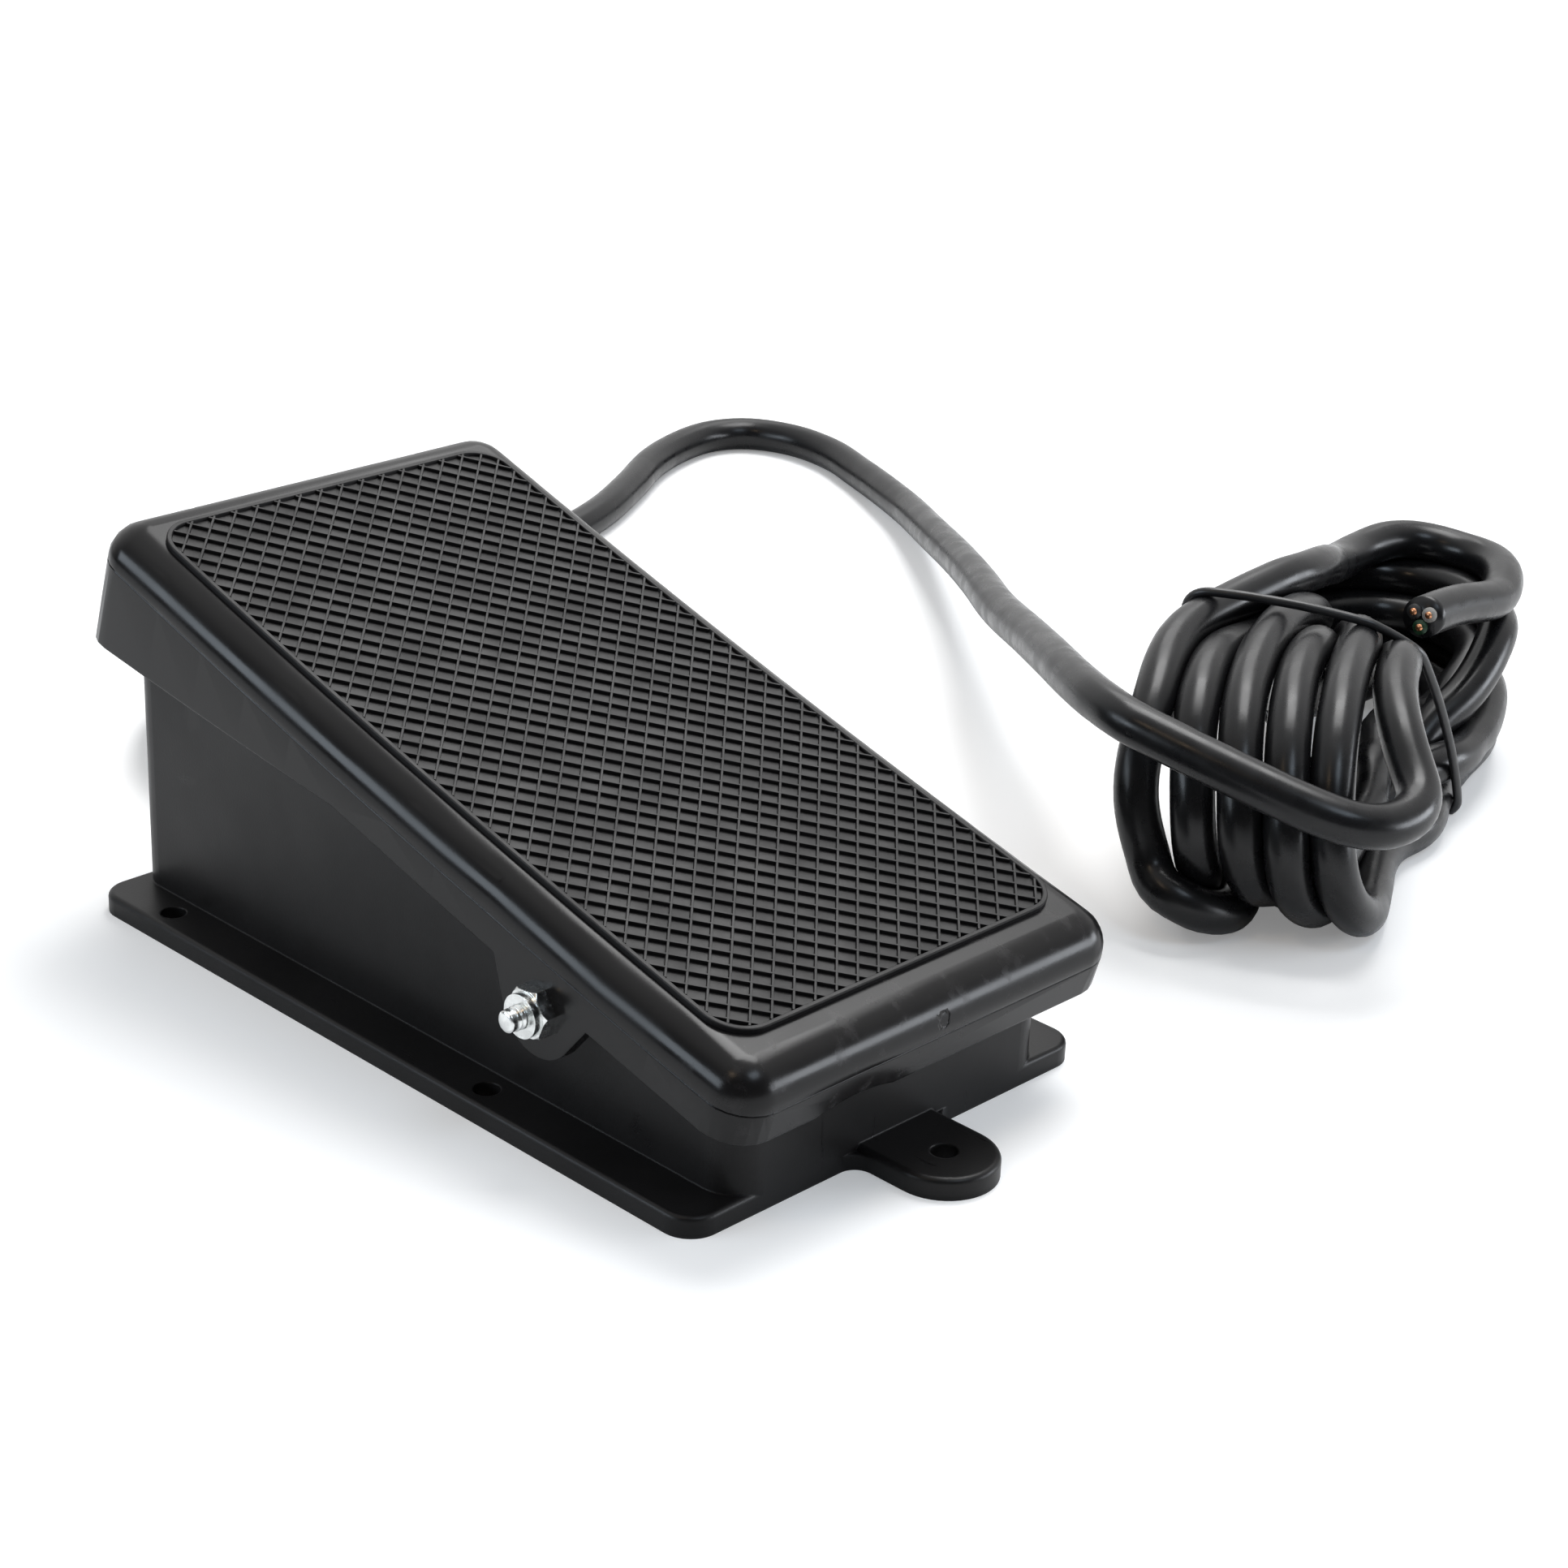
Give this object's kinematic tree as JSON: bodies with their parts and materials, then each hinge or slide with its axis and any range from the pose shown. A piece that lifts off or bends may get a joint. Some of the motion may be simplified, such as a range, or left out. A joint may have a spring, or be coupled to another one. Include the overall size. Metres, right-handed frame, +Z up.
{
  "type": "foot switch",
  "caption": "Industrial foot switch: a sprung treaded pedal hinged over a flanged base, a lever switch inside and a jacketed cord tied in a hank.",
  "frame": {"origin": "centre of the four flange holes, on the plane of the underside", "axes": "+Z up from the floor, +Y from the heel to the toe, -X to the side with the lock nut"},
  "size_m": [0.3619, 0.3797, 0.0891],
  "materials": {
    "base_plastic": "satin moulded black",
    "pedal_plastic": "satin moulded black with a glossy rolled edge",
    "tread_rubber": "matt moulded lattice of fine ribs",
    "zinc_steel": "bright zinc plate",
    "insert_nylon": "white nylon",
    "phenolic": "dark brown moulded phenolic",
    "plunger_plastic": "red moulded plastic",
    "contact_brass": "tinned brass",
    "shroud_nylon": "natural nylon",
    "spring_steel": "bare spring wire",
    "boot_rubber": "matt flexible moulding",
    "wire_insulation": "smooth insulation",
    "cord_jacket": "smooth black jacket",
    "tie_plastic": "plastic-coated wire"
  },
  "bodies": {
    "base": {"housing": "base_plastic", "bottom_cover": "base_plastic", "cover_screws": "zinc_steel", "switch_case": "phenolic", "switch_cover": "phenolic", "lever_pin": "zinc_steel", "switch_terminals": "contact_brass", "wire_shrouds": "shroud_nylon", "switch_screws": "zinc_steel", "return_spring": "spring_steel", "strain_relief": "boot_rubber", "wires": "wire_insulation", "power_cord": "cord_jacket", "cord_bundle": "cord_jacket", "cord_tie": "tie_plastic"},
    "pedal": {"pedal": "pedal_plastic", "tread_pad": "tread_rubber", "pivot_screw": "zinc_steel", "pivot_sleeve": "zinc_steel", "lock_nut": "zinc_steel", "nut_insert": "insert_nylon"},
    "lever": {"switch_lever": "spring_steel"},
    "plunger": {"switch_plunger": "plunger_plastic"}
  },
  "joints": [
    {"name": "pedal_press", "type": "hinge", "parent": "base", "child": "pedal", "pos_m": [0, -0.0706, 0.0305], "axis": [-1, 0, 0], "range_deg": [0, 6.1], "stiffness_Nm_per_rad": 20, "springref_deg": -6.3, "deforming": ["return_spring"]},
    {"name": "lever_swing", "type": "hinge", "parent": "base", "child": "lever", "pos_m": [0, -0.045, 0.039], "axis": [-1, 0, 0], "range_deg": [0, 10.7]},
    {"name": "plunger_slide", "type": "slide", "parent": "base", "child": "plunger", "axis": [0, 0, -1], "range_m": [0, 0.0021]}
  ],
  "couplings": [
    {"joint": "lever_swing", "follows": "pedal_press", "ratio": 1.73},
    {"joint": "plunger_slide", "follows": "pedal_press", "m_per_rad": 0.01916}
  ]
}
